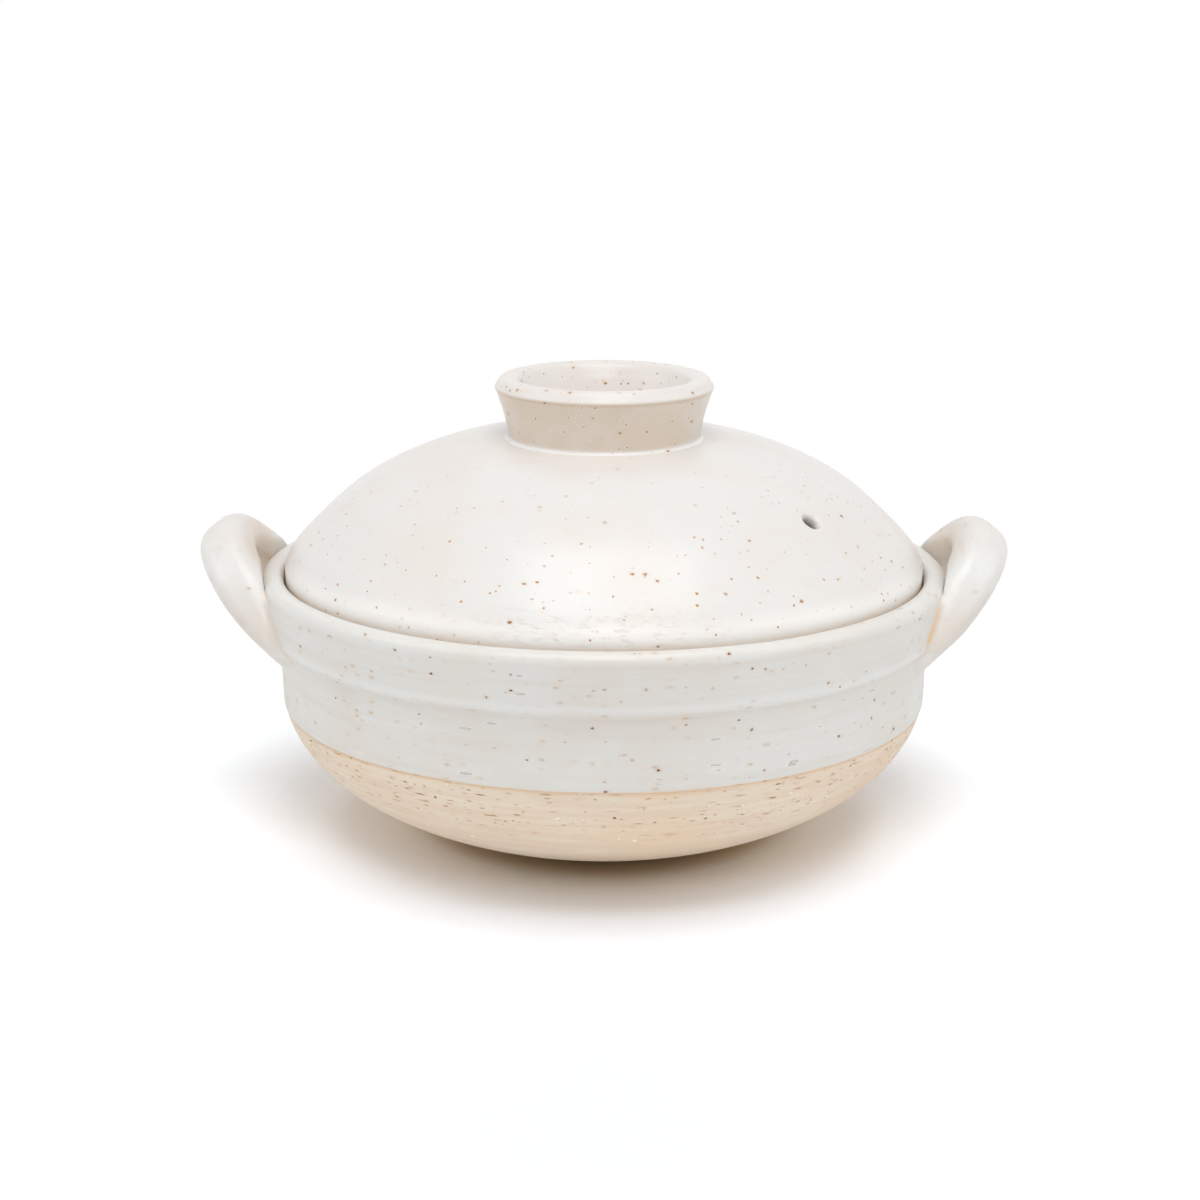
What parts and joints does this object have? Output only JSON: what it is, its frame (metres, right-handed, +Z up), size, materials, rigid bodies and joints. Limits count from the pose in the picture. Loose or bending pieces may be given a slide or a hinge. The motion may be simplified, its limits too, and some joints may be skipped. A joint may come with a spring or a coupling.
{
  "type": "donabe clay pot",
  "caption": "Thick-walled glazed clay casserole with a stepped collar, two ear handles and a lift-off domed lid with a ring knob and a steam hole.",
  "frame": {"origin": "centre of the base, on the surface that the pot stands on", "axes": "+Z up, +X to the handle on the picture's right, the front of the picture faces -Y"},
  "size_m": [0.2956, 0.25, 0.1666],
  "materials": {
    "pot_glaze": "white glaze over a sandy clay body, gloss to satin",
    "lid_glaze": "warm white glaze with iron specks, gloss to satin"
  },
  "bodies": {
    "pot": {"pot_body": "pot_glaze", "handle_left": "pot_glaze", "handle_right": "pot_glaze"},
    "lid": {"lid_dome": "lid_glaze", "lid_ring": "lid_glaze"}
  },
  "joints": [
    {"name": "lid_lift", "type": "slide", "parent": "pot", "child": "lid", "axis": [0, 0, 1], "range_m": [0, 0.12]}
  ]
}
